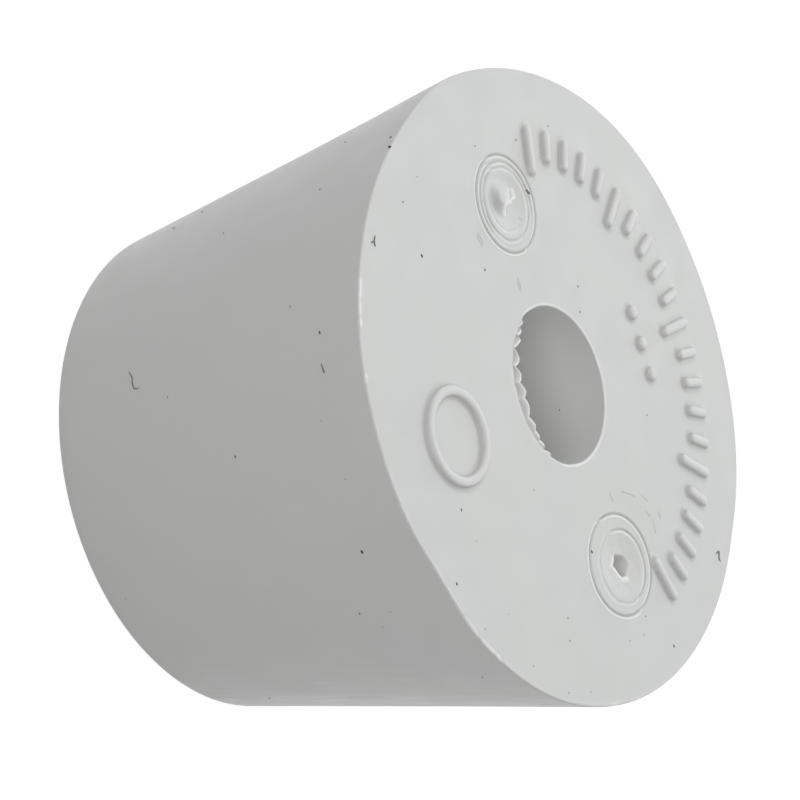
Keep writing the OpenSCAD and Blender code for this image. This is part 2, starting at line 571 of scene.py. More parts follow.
class Blank:
    """The true revolved form, as points and faces that carry the moulded detail."""

    def __init__(self):
        self.points = []
        self.faces = []
        self.marks = {"flat": [], "fin": []}

    def add(self, x, y, z, flat=0.0, fin=0.0):
        self.points.append((x, y, z))
        self.marks["flat"].append(flat)
        self.marks["fin"].append(fin)

    def ring(self, radius, z, angles, **marks):
        """A level ring of points round the axis."""
        made = Ring(angles, len(self.points))
        for angle in angles:
            self.add(*polar(radius, angle), z, **marks)
        return made

    def loops(self, angles, sections):
        """Rings through the sections at each angle, whose points are (radius, z, flat, fin)."""
        made = []
        for points in zip(*sections):
            made.append(Ring(angles, len(self.points)))
            for angle, (radius, z, flat, fin) in zip(angles, points):
                self.add(*polar(radius, angle), z, flat, fin)
        return made

    def bridge(self, first, second):
        """Joins two rings with faces, whatever their counts."""
        i = j = 0
        while i < len(first.angles) or j < len(second.angles):
            ahead = first.next_angle(i) - second.next_angle(j)
            corners = [first.point(i), second.point(j)]
            if ahead > -1e-9:
                j += 1
                corners.append(second.point(j))
            if ahead < 1e-9:
                i += 1
                corners.append(first.point(i))
            self.faces.append(corners)

    def fill_flat(self, outer, inner, spots, z):
        """Fills the flat between two rings with triangles that pass through the given spots."""
        loops = (outer, inner)
        numbers = [ring.point(i) for ring in loops for i in range(len(ring.angles))]
        plan = [Vector(self.points[number][:2]) for number in numbers]
        edges = []
        start = 0
        for ring in loops:
            total = len(ring.angles)
            edges += [(start + i, start + (i + 1) % total) for i in range(total)]
            start += total
        for x, y in spots:
            numbers.append(len(self.points))
            plan.append(Vector((x, y)))
            self.add(x, y, z, flat=1.0)
        hole = set(numbers[len(outer.angles) : start])
        _, _, faces, origins, _, _ = delaunay_2d_cdt(plan, edges, [], 0, 1e-9)
        for face in faces:
            corners = [numbers[origins[corner][0]] for corner in face]
            if not hole.issuperset(corners):
                self.faces.append(corners)

    def mesh(self, name):
        """The points and faces as a mesh, with what each point is marked by."""
        made = bpy.data.meshes.new(name)
        made.from_pydata(self.points, [], self.faces)
        for mark, values in self.marks.items():
            made.attributes.new(mark, "FLOAT", "POINT").data.foreach_set("value", values)
        made.validate()
        return made


def arc(centre, radius, start, end, steps):
    """Points on an arc in section, from one angle to another, both ends included."""
    return [polar(radius, start + (end - start) * i / steps, *centre) for i in range(steps + 1)]


def disc_spots(x, y, radii, spacing):
    """Rings of spots round a centre, about as far apart as the spacing."""
    spots = [(x, y)] if radii[0] > 0 else []
    for number, radius in enumerate(radii):
        total = max(6, round(FULL_TURN * radius / spacing))
        for i in range(total):
            angle = FULL_TURN * (i + number % 2 / 2) / total
            spots.append(polar(radius, angle, x, y))
    return spots


def stroke_spots(start, end, offsets, spacing):
    """Rows of spots along both sides of a line and round its two ends."""
    along = end - start
    side = along.orthogonal().normalized()
    straight = max(1, round(along.length / (spacing * 1.5)))
    shares = [step / straight for step in range(straight + 1)]
    spots = [tuple(start + along * share) for share in shares]
    for offset in offsets[1:]:
        spots += [tuple(start + along * share + side * offset * way) for share in shares for way in (-1, 1)]
        turns = max(2, round(math.pi * offset / spacing))
        for step in range(1, turns):
            turned = Matrix.Rotation(math.pi * step / turns, 2) @ side * offset
            spots += [tuple(start + turned), tuple(end - turned)]
    return spots


def steps(low, high, step):
    """Evenly spaced numbers from low to high, about a step apart."""
    total = max(1, round((high - low) / step))
    return [low + (high - low) * i / total for i in range(total + 1)]


# Every fifth bar is long
LONG_EVERY = 5
# Where the rows of spots run across a raised stroke, as shares of its half width
STROKE_LOOPS = (0, 0.3, 0.52, 0.68, 0.8, 0.88, 0.94, 0.975, 1, 1.05)


class FacePlan:
    """Where the points of the large end's flat go: close together where it carries detail."""

    # Spacings in the finest patches, in the others and at their borders, and how fast the last grows
    FINE = 0.05 * MM
    MEDIUM = 0.1 * MM
    BORDER = 0.14 * MM
    GROWTH = 0.35
    # Radii of a gate's patch and of its finest part, and the margin of every other patch
    GATE_REACH = 3.5 * MM
    GATE_CORE = 1.35 * MM
    MARGIN = 0.35 * MM
    # The band that the bars lie in: its middle, half its width, and how near it each bar is measured
    BAND_MIDDLE = 13.7 * MM
    BAND_HALF = 2 * MM
    BAND_NEAR = 4.1 * MM
    # Bars further round than this angle, or further off than this distance, don't count
    BAR_WINDOW = 0.3
    FAR = 3 * MM
    # Side of the first square, which covers the large end
    COVER = 64 * 0.6 * MM
    # How far inside the rim rings of spots run, in millimetres
    RIM_INSETS = (0.04, 0.08, 0.12, 0.17, 0.23, 0.3)

    def __init__(self, scene, flat_r, mouth_r):
        gates, relief = scene.stopper_gates, scene.stopper_relief
        self.relief = relief
        self.flat_r = flat_r
        self.mouth_r = mouth_r
        self.spots = []
        self.half_stroke = relief.stroke / 2 + self.MARGIN
        self.ring_mid = relief.ring_d / 2
        self.discs = [
            (side * gates.pitch / 2 + gates.shift, gates.offset, self.GATE_REACH) for side in (-1, 1)
        ]
        stud_reach = relief.stud_d / 2 + self.MARGIN
        studs = (-relief.stud_pitch, 0, relief.stud_pitch)
        self.discs += [(x, relief.stud_y, stud_reach) for x in studs]
        self.bars = []
        for number in range(relief.bar_count):
            turned = relief.bar_first - number * relief.bar_pitch
            reach = relief.short_bar if number % LONG_EVERY else relief.long_bar
            low = relief.bar_outer_r - reach + relief.stroke / 2
            high = relief.bar_outer_r - relief.stroke / 2
            self.bars.append((turned, low, high))

    def to_bars(self, x, y):
        """Distance to the middle line of the nearest bar."""
        radius = math.hypot(x, y)
        angle = math.atan2(y, x)
        from_band = abs(radius - self.BAND_MIDDLE)
        if from_band >= self.BAND_NEAR:
            return from_band - self.BAND_HALF
        nearest = math.inf
        for turned, low, high in self.bars:
            off = math.remainder(angle - turned, FULL_TURN)
            if abs(off) < self.BAR_WINDOW:
                along = radius * math.cos(off)
                past = max(low - along, along - high, 0.0)
                nearest = min(nearest, math.hypot(radius * math.sin(off), past))
        return min(nearest, self.FAR)

    def to_ring(self, x, y):
        """Distance to the raised ring."""
        radius = math.hypot(x, y - self.relief.ring_y)
        return abs(radius - self.ring_mid) - self.half_stroke

    def to_detail(self, x, y):
        """Distance to the nearest patch that has its own spots, below 0 inside it."""
        radius = math.hypot(x, y)
        distances = [math.hypot(x - cx, y - cy) - reach for cx, cy, reach in self.discs]
        distances += [self.to_bars(x, y) - self.half_stroke, self.to_ring(x, y)]
        distances += [self.flat_r - self.MARGIN - radius, radius - self.mouth_r - self.FINE]
        return min(distances)

    def to_scratch(self, x, y):
        """Distance to the nearest scratch, along which the spots are fine."""
        nearest = math.inf
        for start, end in SCRATCHES:
            middle_x = (start[0] + end[0]) / 2 * MM
            middle_y = (start[1] + end[1]) / 2 * MM
            half = math.hypot(end[0] - start[0], end[1] - start[1]) / 2 * MM
            nearest = min(nearest, math.hypot(x - middle_x, y - middle_y) - half)
        return nearest

    def scatter(self, x, y, width):
        """Splits a square until it is as small as the spacing wanted there, then adds its middle."""
        gap = self.to_detail(x, y)
        if gap < -width:
            return
        wanted = self.BORDER + self.GROWTH * max(gap, 0)
        wanted = min(wanted, self.FINE * 1.4 + self.GROWTH * max(self.to_scratch(x, y), 0))
        if width > max(wanted, self.FINE) and width > self.FINE:
            quarter = width / 4
            for step_x in (-quarter, quarter):
                for step_y in (-quarter, quarter):
                    self.scatter(x + step_x, y + step_y, width / 2)
        elif gap > width * 0.55:
            self.spots.append((x, y))

    def add_patch(self, spots, clear_of=()):
        """Adds a patch's own spots, apart from those inside the discs that it has to keep clear of."""
        for x, y in spots:
            if all(math.hypot(x - cx, y - cy) > reach + self.FINE for cx, cy, reach in clear_of):
                self.spots.append((x, y))

    def build(self):
        """Lays the spots: the patches' own first, then the rest in between."""
        relief = self.relief
        for cx, cy, reach in self.discs[:2]:
            core = steps(self.FINE, self.GATE_CORE, self.FINE * 0.8)
            collar = steps(self.GATE_CORE + self.FINE, reach, self.FINE)
            self.add_patch(disc_spots(cx, cy, core, self.FINE))
            self.add_patch(disc_spots(cx, cy, collar, self.MEDIUM))
        for cx, cy, reach in self.discs[2:]:
            loops = [radius * relief.stud_d / 2 for radius in STROKE_LOOPS[1:]] + [reach]
            self.add_patch(disc_spots(cx, cy, loops, self.MEDIUM))
        loops = [share * relief.stroke / 2 for share in STROKE_LOOPS] + [self.half_stroke]
        ring = [self.ring_mid + side * loop for loop in loops for side in (-1, 1)]
        self.add_patch(disc_spots(0, relief.ring_y, sorted(set(ring)), self.MEDIUM * 1.3)[1:])
        for turned, low, high in self.bars:
            out = Vector(polar(1, turned))
            self.add_patch(stroke_spots(out * low, out * high, loops, self.MEDIUM), self.discs[:2])
        for inset in self.RIM_INSETS:
            radius = self.flat_r - inset * MM
            self.add_patch(disc_spots(0, 0, [radius], FULL_TURN * radius / RIM_COUNT)[1:])
        self.scatter(0.0, 0.0, self.COVER)
        return self.spots


# Points round the rim, the side wall and the bore
RIM_COUNT = 800
WALL_COUNT = 320
BORE_COUNT = 180
# Rows down the side wall, closer together near the rim, and how many of them are as fine as the rim
WALL_ROWS = 34
WALL_CROWDING = 1.25
FINE_ROWS = 4
# Between the points of the small end's flat, and between its rings
FOOT_SPACING = 0.6 * MM
FOOT_STEP = 0.9 * MM
# Depth below the large end at which the flash starts
FLASH_DEPTH = 0.9 * MM


def mouth_angles():
    """Angles round the bore's upper mouth, close together where the flash is."""
    fine, coarse = math.radians(0.4), math.radians(1.5)
    low, high = (math.radians(FLASH_EDGE[end][0]) for end in (0, -1))
    angles = [0.0]
    while angles[-1] < FULL_TURN - 1.5 * coarse:
        near = low - coarse < angles[-1] < high + coarse
        angles.append(angles[-1] + (fine if near else coarse))
    return angles


def flash_at(angle):
    """Reach of the flash at an angle, as a share of its full width, and the turn to the nearest notch."""
    at = math.degrees(angle)
    for number, (first, second) in enumerate(zip(FLASH_EDGE, FLASH_EDGE[1:])):
        if first[0] <= at < second[0]:
            notch, tip = (second, first) if number % 2 else (first, second)
            along = (at - notch[0]) / (tip[0] - notch[0])
            reach = notch[1] + (tip[1] - notch[1]) * math.sin(along * QUARTER) ** 0.8
            return reach, abs(at - notch[0])
    return 0.0, math.inf


# Section of the flash: its underside, as shares of the way in to the torn edge
UNDERSIDE = (0.0, 0.3, 0.6, 0.85, 1.0)
# Its lip, as shares of the way back from the edge, and millimetres below the crest
LIP_FORM = ((0, 0.1), (0.05, 0.05), (0.3, 0.02), (0.65, 0), (1, 0.01))
# Its thin top, as shares of the way back to the shoulder, and how torn it is, below 0 where painted shade
# darkens it
THIN_TOP = ((0.06, 0.3), (0.15, -0.15), (0.3, -0.4), (0.5, -0.45), (0.7, -0.35), (0.88, -0.18), (1.0, 0.0))
# The lip's thickness, and the depth that the same rows take up where there is no flash
LIP_THICKNESS = 0.17 * MM
PLAIN_DEPTH = 0.62 * MM
# How far the flash has to reach for its whole form, for its whole edge and for all its tearing
FORM_REACH = 0.3 * MM
EDGE_REACH = 0.4 * MM
TORN_REACH = 0.2 * MM
# Radius of the edge above the flash, and how far the ridge at a notch spreads, in degrees
SHOULDER_EDGE_R = 0.15 * MM
NOTCH_SPREAD = 1.6


def mouth_section(body, flash, angle):
    """Section of the upper mouth at an angle, from the wall below the flash up to the flat."""
    top, bore_r = body.height, body.bore_d / 2
    share_here, turn_off = flash_at(angle)
    reach = share_here * flash.width
    grown = min(1.0, reach / FORM_REACH)
    fall = flash.slope * (1 - flash.ridge * math.exp(-((turn_off / NOTCH_SPREAD) ** 2)))
    lip = min(flash.lip, reach / 2)
    shoulder = reach * flash.shoulder
    root = flash.crest + fall * (reach - lip - shoulder)
    edge_r = body.mouth_edge_r * (0.35 + 0.65 * (1 + math.sin(angle)) / 2)
    edge_r += (SHOULDER_EDGE_R - edge_r) * min(1.0, reach / EDGE_REACH)

    # Each row: inset from the wall, depth with the flash, share of tearing
    rows = []
    under = root + flash.thickness
    for across in UNDERSIDE:
        depth = under + (flash.crest + LIP_THICKNESS - under) * across
        rows.append((reach * across, depth, across**6))
    for back, deep in LIP_FORM:
        rows.append((reach - lip * back, flash.crest + deep * MM, 1 - 0.2 * back**3))
    for across, torn in THIN_TOP:
        inset = shoulder + (reach - lip - shoulder) * (1 - across)
        rows.append((inset, flash.crest + (root - flash.crest) * across**0.85, torn))
    tearing = min(1.0, reach / TORN_REACH)
    section = []
    for number, (inset, depth, torn) in enumerate(rows):
        plain = edge_r + (PLAIN_DEPTH - edge_r) * (1 - number / len(rows))
        section.append((bore_r - inset, top - plain - (depth - plain) * grown, 0.0, torn * tearing))
    # Where there is no flash, the rounded mouth edge carries a painted highlight
    upper = arc((bore_r - shoulder + edge_r, top - edge_r), edge_r, 2 * QUARTER, QUARTER, 5)
    section += [(radius, z, 1.0, 0.75 - 0.7 * tearing) for radius, z in upper]
    section.append((bore_r + 0.2 * MM, top, 1.0, 0.0))
    return section


def plain_form(scene):
    """Builds the revolved form in one closed skin, from the large end's rim round to its mouth."""
    body = scene.stopper_body
    top, top_r, bottom_r = body.height, body.top_d / 2, body.bottom_d / 2
    bore_r, mouth_edge = body.bore_d / 2, body.mouth_edge_r
    lean = math.atan2(top_r - bottom_r, top)
    top_edge, bottom_edge = body.top_edge_r, body.bottom_edge_r
    rim_centre = (top_r - top_edge * (1 + math.sin(lean)) / math.cos(lean), top - top_edge)
    foot_centre = (bottom_r - bottom_edge * (1 - math.sin(lean)) / math.cos(lean), bottom_edge)
    rim = arc(rim_centre, top_edge, QUARTER, -lean, 5)
    foot = arc(foot_centre, bottom_edge, -lean, -QUARTER, 5)
    round_rim, round_wall = even_angles(RIM_COUNT), even_angles(WALL_COUNT)
    round_bore, round_mouth = even_angles(BORE_COUNT), mouth_angles()
    blank = Blank()

    rings = [blank.ring(r, z, round_rim, flat=1.0) for r, z in rim]
    for row in range(1, WALL_ROWS):
        fall = (row / WALL_ROWS) ** WALL_CROWDING
        radius = rim[-1][0] + (foot[0][0] - rim[-1][0]) * fall
        z = rim[-1][1] + (foot[0][1] - rim[-1][1]) * fall
        rings.append(blank.ring(radius, z, round_rim if row < FINE_ROWS else round_wall))
    rings += [blank.ring(r, z, round_wall) for r, z in foot]

    mouth_r = bore_r + mouth_edge
    radius = foot[-1][0] - FOOT_SPACING
    while radius > mouth_r + FOOT_SPACING:
        total = round(FULL_TURN * radius / FOOT_SPACING)
        rings.append(blank.ring(radius, 0, even_angles(min(total, WALL_COUNT))))
        radius -= FOOT_STEP
    lower = arc((mouth_r, mouth_edge), mouth_edge, -QUARTER, -2 * QUARTER, 3)
    rings += [blank.ring(r, z, round_bore) for r, z in lower]

    for z in steps(mouth_edge, top - FLASH_DEPTH, 1.0 * MM)[1:]:
        rings.append(blank.ring(bore_r, z, round_bore))
    sections = [mouth_section(body, scene.stopper_flash, angle) for angle in round_mouth]
    rings += blank.loops(round_mouth, sections)

    for first, second in zip(rings, rings[1:]):
        blank.bridge(first, second)
    spots = FacePlan(scene, rim[0][0], mouth_r).build()
    blank.fill_flat(rings[0], rings[-1], spots, top)
    return blank.mesh("plain_form")


# ---------------------------------------------------------------- the moulded detail, as rules

# Distances from the axis between which each gate mark fades in
GATE_FADE = (6 * MM, 7 * MM)
# How far the torn mark's inner groove stands off the mark's centre, towards -X and -Y
WORN_SHIFT = (0.15 * MM, 0.14 * MM)
# Centre of the kept gate's lopsided cone, from the mark's centre
CONE_SHIFT = (0.42 * MM, 0.56 * MM)
# The crack beside the sliver lies this far from it
CRACK_SHIFT = 0.19 * MM
# Radius of the scuffs round the torn mark
SCUFFS_R = 3.75 * MM
# How softly the pit's sides meet
CORNER_BLEND = 0.03 * MM
SCRATCH_WIDTH = 0.14 * MM
SCRATCH_DEPTH = 0.04 * MM
# Sizes of the patches of unevenness on the flat and on the wall
FLAT_PATCH = 7 * MM
WALL_PATCH = 9 * MM


def ridge(tree, distance, width, height):
    """A raised stroke with steep sides and a round top, from the distance to its middle line."""
    ratio = distance / (width / 2.0)
    rise = tree.calc("POWER", tree.most(1.0 - ratio * ratio * ratio, 0.0), 0.4)
    return rise * height


def stroke(tree, distance, width):
    """A raised stroke: its height, the painted shade along its foot, and how far its top takes a painted
    highlight.
    """
    ratio = distance / (width / 2.0)
    foot = tree.ease(ratio, 0.68, 0.96) * tree.ease(ratio, 1.25, 1.0)
    return ridge(tree, distance, width, tree.size["Relief height"]), foot, tree.ease(ratio, 0.85, 0.4)


def groove(tree, distance, width, depth):
    """A groove with straight sides, from the distance to its middle line."""
    off = tree.size_of(distance)
    return -tree.calc("SMOOTH_MAX", (1.0 - off / (width / 2.0)) * depth, 0.0, depth * 0.25)


def bars(tree, radius, angle):
    """Distance to the nearest of the radial bars, of which every fifth is longer."""
    size = tree.size
    number = tree.calc("ROUND", (size["First bar"] - angle) / size["Bar pitch"])
    number = tree.least(tree.most(number, 0.0), size["Bars"] - 1.0)
    off = angle - size["First bar"] + number * size["Bar pitch"]
    is_long = tree.calc("LESS_THAN", tree.calc("FLOORED_MODULO", number, LONG_EVERY), 0.5)
    reach = size["Short bar"] + is_long * (size["Long bar"] - size["Short bar"])
    middle = size["Outer ends"] - reach / 2.0
    along = tree.size_of(radius * tree.calc("COSINE", off) - middle)
    past = tree.most(along - reach / 2.0 + size["Stroke"] / 2.0, 0.0)
    across = radius * tree.calc("SINE", off)
    return tree.hypot(across, past)


def relief_marks(tree, x, y):
    """The bars, three studs in a row, and one plain raised ring."""
    size = tree.size
    step = tree.calc("ROUND", x / size["Stud pitch"])
    step = tree.least(tree.most(step, -1.0), 1.0)
    from_stud = tree.hypot(x - step * size["Stud pitch"], y - size["Stud row"])
    from_ring = tree.size_of(tree.hypot(x, y - size["Ring place"]) - size["Ring"] / 2.0)
    from_bar = bars(tree, tree.hypot(x, y), tree.calc("ARCTAN2", y, x))
    made = [
        stroke(tree, from_stud, size["Stud"]),
        stroke(tree, tree.least(from_ring, from_bar), size["Stroke"]),
    ]
    return [first + second for first, second in zip(*made)]


def gate_rings(tree, place, x, y, rings, straying, first=0):
    """Grooves left by the plug, each beside the bead that it pushed up, with uneven depths. The bead's
    paleness is a painted highlight, kept on the side of the groove that faces the light, and painted shade
    runs down the middle of each groove.

    Each ring is a diameter and the share of its depth that is left. The outer ring, number 0, is the
    firmest and the truest.
    """
    size = tree.size
    radius = tree.hypot(x, y)
    wander = tree.noise(place, 1.6 * MM) * straying
    strength = tree.noise(place, 1.1 * MM) * 1.6
    slant = y / radius
    width = size["Groove width"] * (0.62 + 0.38 * slant * slant)
    # The bead sits outside the groove on the +Y side and inside it on the -Y side, so its painted highlight
    # stays on the lit wall
    lean = (y * 0.97 - x * 0.25) / radius
    across = tree.most(tree.least(lean * 6.0, 1.0), -1.0)
    beside = radius - across * (0.6 + 0.4 * tree.size_of(lean)) * size["Bead shift"]
    made = []
    for number, (diameter, left) in enumerate(rings, first):
        stray = wander * float(min(number, 2)) - diameter / 2.0
        strong = strength * (0.2 + 0.8 * min(number, 1)) + (1.1 - 0.3 * min(number, 2))
        strong = tree.most(strong, 0.0) * left
        bead = tree.bell(beside + stray, width * 0.36) * strong
        groove_shade = tree.bell(radius + stray, width * 0.42) * strong
        line = groove(tree, radius + stray, width, size["Groove depth"]) * strong
        made.append((line + bead * (size["Groove depth"] * 0.3), bead, groove_shade))
    heights, beads, groove_shades = zip(*made)
    # Painted highlight on the beads
    pale = tree.least(reduce(tree.most, beads), 1.0)
    # Painted shade down the middle of each groove
    creased = tree.least(reduce(tree.most, groove_shades), 1.2) * 0.5
    return reduce(operator.add, heights), pale, creased


def dish(tree, radius):
    """The shallow hollow in the middle of each mark."""
    size = tree.size
    ratio = tree.least(radius / (size["Dish"] / 2.0), 1.0)
    return (ratio * ratio - 1.0) * size["Dish depth"]


def torn_gate(tree, place, x, y):
    """The mark whose gate tore out: rings, a dish, and a pit with straight torn sides, with painted shade
    just inside the pit's edge on the burr side.
    """
    size = tree.size
    plan_x, plan_y = x, y
    x, y = x + size["Gate pitch"] / 2.0 - size["Gate shift"], y - size["Gate offset"]
    y = y / (1.0 + size["Mark stretch"])
    radius = tree.hypot(x, y)
    jag = tree.noise(place, 0.35 * MM) * (0.1 * MM)
    sides = []
    for start, end in zip(PIT_CORNERS, PIT_CORNERS[1:] + PIT_CORNERS[:1]):
        facing = (Vector(end) - Vector(start)).orthogonal().normalized()
        sides.append(plan_x * facing.x + plan_y * facing.y - facing.dot(start) * MM)
    inside = reduce(lambda one, two: tree.calc("SMOOTH_MAX", one, two, CORNER_BLEND), sides) + jag
    gentle = tree.ease(y + x * 0.3, -0.1 * MM, -0.7 * MM) * (0.35 * MM) + size["Pit wall"]
    pit = tree.ease(inside, 0.0, -gentle) * -size["Pit depth"]
    burr_side = tree.ease(y - x * 0.5, -0.05 * MM, 0.3 * MM)
    burr_line = tree.bell(inside - 0.12 * MM, 0.15 * MM) * burr_side
    skin = tree.noise(place, 0.7 * MM, 3.0) * tree.ease(radius, 2.3 * MM, 1.7 * MM) * (0.07 * MM)
    near_bore = tree.ease(y / radius, 0.3, -0.4, 0.3, 1.1)
    outer = gate_rings(tree, place, x, y, [(size["Outer ring"], 1.0)], straying=0.0)
    moved_x, moved_y = x + WORN_SHIFT[0], y + WORN_SHIFT[1]
    worn = [(size["Inner ring"], near_bore)]
    inner = gate_rings(tree, place, moved_x, moved_y, worn, straying=0.25 * MM, first=1)
    rings, pale, creased = [first + second for first, second in zip(outer, inner)]
    scuffs = tree.bell(radius - SCUFFS_R, 0.18 * MM) * tree.noise(place, 0.5 * MM, 3.0) * (0.05 * MM)
    height = rings + dish(tree, radius) + skin + burr_line * size["Pit burr"] + pit + scuffs
    # Painted shade just inside the pit's edge, on the burr side
    edge = tree.bell(inside + 0.08 * MM, 0.07 * MM) * burr_side
    return height, tree.most(burr_line, pale), tree.most(creased, edge * 0.4)


def kept_gate(tree, place, x, y):
    """The mark that kept its gate: rings, a dish, and a lopsided cone with a torn sliver on it, with painted
    shade on the cone's steep side and painted shadow along the crack.
    """
    size = tree.size
    plan_x, plan_y = x, y
    x, y = x - size["Gate pitch"] / 2.0 - size["Gate shift"], y - size["Gate offset"]
    radius = tree.hypot(x, y)
    rough = tree.noise(place, 0.45 * MM, 3.0)
    kept = [
        (size["Outer ring"] * 0.97, 1.0),
        (size["Middle ring"] * 0.97, tree.ease(x / radius, -0.65, -0.2, 0.1, 1.0)),
        (size["Inner ring"], 1.0),
        (size["Cone"] * 1.2, tree.ease((y - x) / radius, 0.1, 0.9) * 0.7),
    ]
    rings, pale, creased = gate_rings(tree, place, x, y, kept, straying=0.14 * MM)
    floor = rings + dish(tree, radius)
    across = y - CONE_SHIFT[1]
    steep = tree.ease(across, -0.15 * MM, 0.15 * MM, 0.85, 1.8)
    ratio = tree.hypot((x - CONE_SHIFT[0]) * 1.25, across * steep) / (size["Cone"] / 2.0)
    top_ratio = size["Cone top"] / size["Cone"]
    rise = tree.ease(ratio, 1.05, top_ratio)
    streaks = tree.noise(tree.join(x * 0.35, y, 0.0), 0.22 * MM, 3.0) * (0.05 * MM)
    streaks = streaks * tree.ease(ratio, 1.3, 0.8)
    cone = rise * (size["Cone height"] + size["Dish depth"]) + streaks
    thick_end = tree.from_path(plan_x, plan_y, SLIVER[3:]) - 0.06 * MM
    from_sliver = tree.least(tree.from_path(plan_x, plan_y, SLIVER), thick_end) + rough * (0.04 * MM)
    sliver = ridge(tree, from_sliver, size["Sliver"], size["Sliver height"])
    from_flap = tree.from_path(plan_x, plan_y, FLAP) + rough * (0.06 * MM)
    lifted = ridge(tree, from_flap, size["Sliver"] * 0.7, size["Sliver height"] * 0.7)
    beside = tree.from_path(plan_x, plan_y + CRACK_SHIFT, SLIVER[2:])
    crack = tree.bell(beside, 0.06 * MM) * (0.1 * MM)
    torn = tree.ease(tree.least(from_sliver, from_flap + 0.03 * MM), 0.17 * MM, 0.1 * MM)
    # Painted shade on the cone's steep +Y side, and painted shadow along the crack beside the sliver
    flank_shade = tree.bell(tree.hypot((x - 0.25 * MM) * 0.7, y - 1.0 * MM), 0.42 * MM) * 0.32
    creased = tree.most(creased, tree.most(flank_shade, tree.bell(beside, 0.07 * MM) * 0.7))
    creased = creased * (1.0 - torn)
    return floor + cone + tree.most(sliver, lifted) - crack, tree.most(torn, pale), creased


def rim_lip(tree, place, radius, angle):
    """The fine wavy lip that trimming left round the large end, with nicks, and the painted highlight along
    it.
    """
    size = tree.size
    rim_r = size["Large end"] / 2.0
    off = radius - rim_r + size["Large edge"] * 1.7
    wander = tree.noise(place, 0.8 * MM, 3.0) * (0.05 * MM)
    strength = tree.noise(place, 1.3 * MM) * 0.8 + 0.15
    for at, half, strong in LIP_RUNS:
        strength = strength + tree.bell(tree.turned(angle, at), math.radians(half)) * strong
    line = tree.bell(off + wander, size["Lip width"] * 0.5) * tree.most(strength, 0.0)
    lip = line * size["Lip height"]
    for at, deep, long in NICKS:
        along = tree.turned(angle, at) * rim_r / (MM * long / 2)
        lip = lip - tree.bell(along, 1.0) * tree.ease(off, -0.25 * MM, 0.0) * (deep * MM)
    # Painted highlight along the lip
    pale = tree.bell(off + wander - size["Large edge"] * 1.2, 0.11 * MM) * tree.ease(strength, 0.2, 0.65)
    return lip, pale


def scratches(tree, x, y):
    """Fine scratches, as a height and as the painted shade along them."""
    distance = reduce(tree.least, [tree.from_line(x, y, *ends) for ends in SCRATCHES])
    return groove(tree, distance, SCRATCH_WIDTH, SCRATCH_DEPTH), tree.bell(distance, 0.06 * MM) * 0.25


def out_of_round(tree, angle, z):
    """How far trimming and shrinkage moved the wall in or out."""
    swells = []
    for at, height, rise, spread, tall in SWELLS:
        round_body = tree.bell(tree.turned(angle, at), math.radians(spread))
        swells.append(round_body * tree.bell(z - height * MM, tall * MM) * (rise * MM))
    return reduce(operator.add, swells)


def moulded_detail(values):
    """The geometry tree that gives the plain form its moulded, torn and trimmed detail, with a pale share
    for torn rubber and painted highlights, and a dark share for painted shade.
    """
    tree = Tree.new_group("Moulded detail", "GeometryNodeTree", values)
    size = tree.size
    place = tree.position()
    x, y, z = tree.split(place)
    radius = tree.hypot(x, y)
    angle = tree.calc("ARCTAN2", y, x)
    flat, fin = tree.stored("flat"), tree.stored("fin")
    fin, flash_shade = tree.most(fin, 0.0), tree.most(-fin, 0.0)

    pit_height, pit_torn_and_highlight, pit_shade = torn_gate(tree, place, x, y)
    cone_height, cone_torn_and_highlight, cone_shade = kept_gate(tree, place, x, y)
    at_pit, at_cone = tree.ease(-x, *GATE_FADE), tree.ease(x, *GATE_FADE)
    rise, foot, crown = relief_marks(tree, x, y)
    scratch, scratch_shade = scratches(tree, x, y)
    lip, lip_highlight = rim_lip(tree, place, radius, angle)
    unevenness = tree.noise(place, FLAT_PATCH) * size["Unevenness"]
    gates = pit_height * at_pit + cone_height * at_cone
    lift = (rise + scratch + gates + lip + unevenness) * flat

    wall_r = size["Small end"] / 2.0
    wall_r = wall_r + z / size["Height"] * (size["Large end"] - size["Small end"]) / 2.0
    outward = out_of_round(tree, angle, z) + tree.noise(place, WALL_PATCH) * size["Unevenness"]
    outward = outward * tree.ease(radius / wall_r, 0.84, 0.98)
    ragged = tree.noise(place, 0.3 * MM, 3.0) * size["Ragged edge"] * fin
    grown = 1.0 + (outward + ragged) / radius
    shift = tree.ease(radius, 7 * MM, 5 * MM) * size["Mouth shift"] * (z / size["Height"])
    moved = tree.join(x * grown, y * grown + shift, z + lift)
    shaped = tree.put("GeometryNodeSetPosition", {"Geometry": size["Geometry"], "Position": moved})

    # Torn rubber, with the painted highlights on the gate beads and on the tops of the marks
    torn_and_highlight = (pit_torn_and_highlight * at_pit + cone_torn_and_highlight * at_cone + crown * size["Rubbing"]) * flat
    at_rim = tree.ease(z, size["Height"] - 0.06 * MM, size["Height"] - 0.01 * MM)
    torn_and_highlight = tree.least(torn_and_highlight + lip_highlight * at_rim, 1.0)
    # Painted shade on the flat: in the gate grooves, beside the kept gate's cone, inside the pit's edge, at
    # the feet of the marks and in the scratches
    flat_shade = pit_shade * at_pit + cone_shade * at_cone + foot * size["Dirt"] + scratch_shade
    creased = tree.least(tree.most(flat_shade * flat, flash_shade), 1.0)
    # Painted light in the bore
    bloom = tree.ease(radius, 5.0 * MM, 4.8 * MM) * (1.0 - flat) * size["Bloom"]
    # The pale share: torn rubber, with painted highlights on the beads, mark tops, rim lip and mouth edge,
    # and painted light in the bore
    marked = tree.store(shaped, "torn", tree.most(tree.most(torn_and_highlight, fin), bloom))
    return tree.finish_mesh(tree.store(marked, "creased", creased), size["Rubber"])


